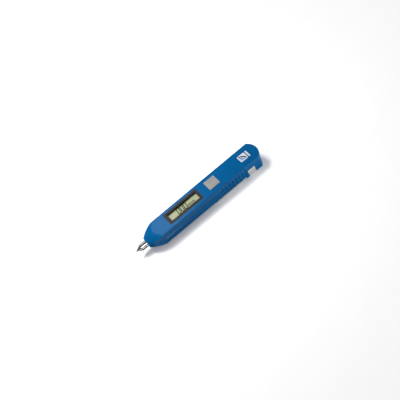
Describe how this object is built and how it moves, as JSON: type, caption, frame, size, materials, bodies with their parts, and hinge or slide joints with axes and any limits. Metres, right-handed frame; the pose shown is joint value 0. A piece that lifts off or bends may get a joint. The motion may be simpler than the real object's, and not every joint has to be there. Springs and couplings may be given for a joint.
{
  "type": "pen-type vibration meter",
  "caption": "Pocket pen that measures machine vibration through a steel contact cone, with a display, a measuring key and a spring clip.",
  "frame": {"origin": "under the middle of the pen, on the plane of the battery block's underside", "axes": "+X from the probe tip to the rear, +Z out of the display face"},
  "size_m": [0.15, 0.022, 0.0162],
  "materials": {
    "case_blue": "satin moulded",
    "bezel_grey": "matte",
    "clear_window": "polished",
    "lcd": "satin",
    "badge": "satin",
    "key_grey": "matte",
    "black_plastic": "matte",
    "steel": "brushed",
    "polished_steel": "polished",
    "rubber": "matte",
    "board": "satin",
    "brass": "satin",
    "ceramic": "matte",
    "wire_red": "satin"
  },
  "bodies": {
    "case": {"upper_shell": "case_blue", "lower_shell": "case_blue", "display_bezel": "bezel_grey", "display_lens": "clear_window", "lcd_glass": "lcd", "zebra_strips": "rubber", "badge_plate": "badge", "switch_body": "black_plastic", "switch_dome": "steel", "circuit_board": "board", "processor_chip": "black_plastic", "amplifier_chip": "black_plastic", "crystal_can": "steel", "capacitors": "ceramic", "sensor_wires": "wire_red", "probe_tip": "polished_steel", "probe_seal": "rubber", "sensor_base": "steel", "piezo_rings": "ceramic", "electrode_ring": "brass", "seismic_mass": "brass", "mass_nut": "steel", "sensor_can": "steel", "isolation_rings": "rubber", "battery_tray": "black_plastic", "button_cells": "steel", "contact_positive": "brass", "contact_negative": "brass", "case_screws": "steel"},
    "push_key": {"key_cap": "key_grey", "switch_plunger": "black_plastic"},
    "battery_cover": {"battery_door": "case_blue", "clip_band": "steel", "clip_rivets": "steel"},
    "clip_spring": {"clip_tongue": "steel"}
  },
  "joints": [
    {"name": "key_press", "type": "slide", "parent": "case", "child": "push_key", "axis": [0, 0, -1], "range_m": [0, 0.0005], "stiffness_N_per_m": 1000, "springref_m": -0.0005},
    {"name": "cover_removal", "type": "slide", "parent": "case", "child": "battery_cover", "axis": [0, 0, -1], "range_m": [0, 0.014]},
    {"name": "clip_flex", "type": "hinge", "parent": "battery_cover", "child": "clip_spring", "pos_m": [0.0535, 0, 0.00035], "axis": [0, -1, 0], "range_deg": [0, 3], "stiffness_Nm_per_rad": 2, "springref_deg": -1.15}
  ]
}
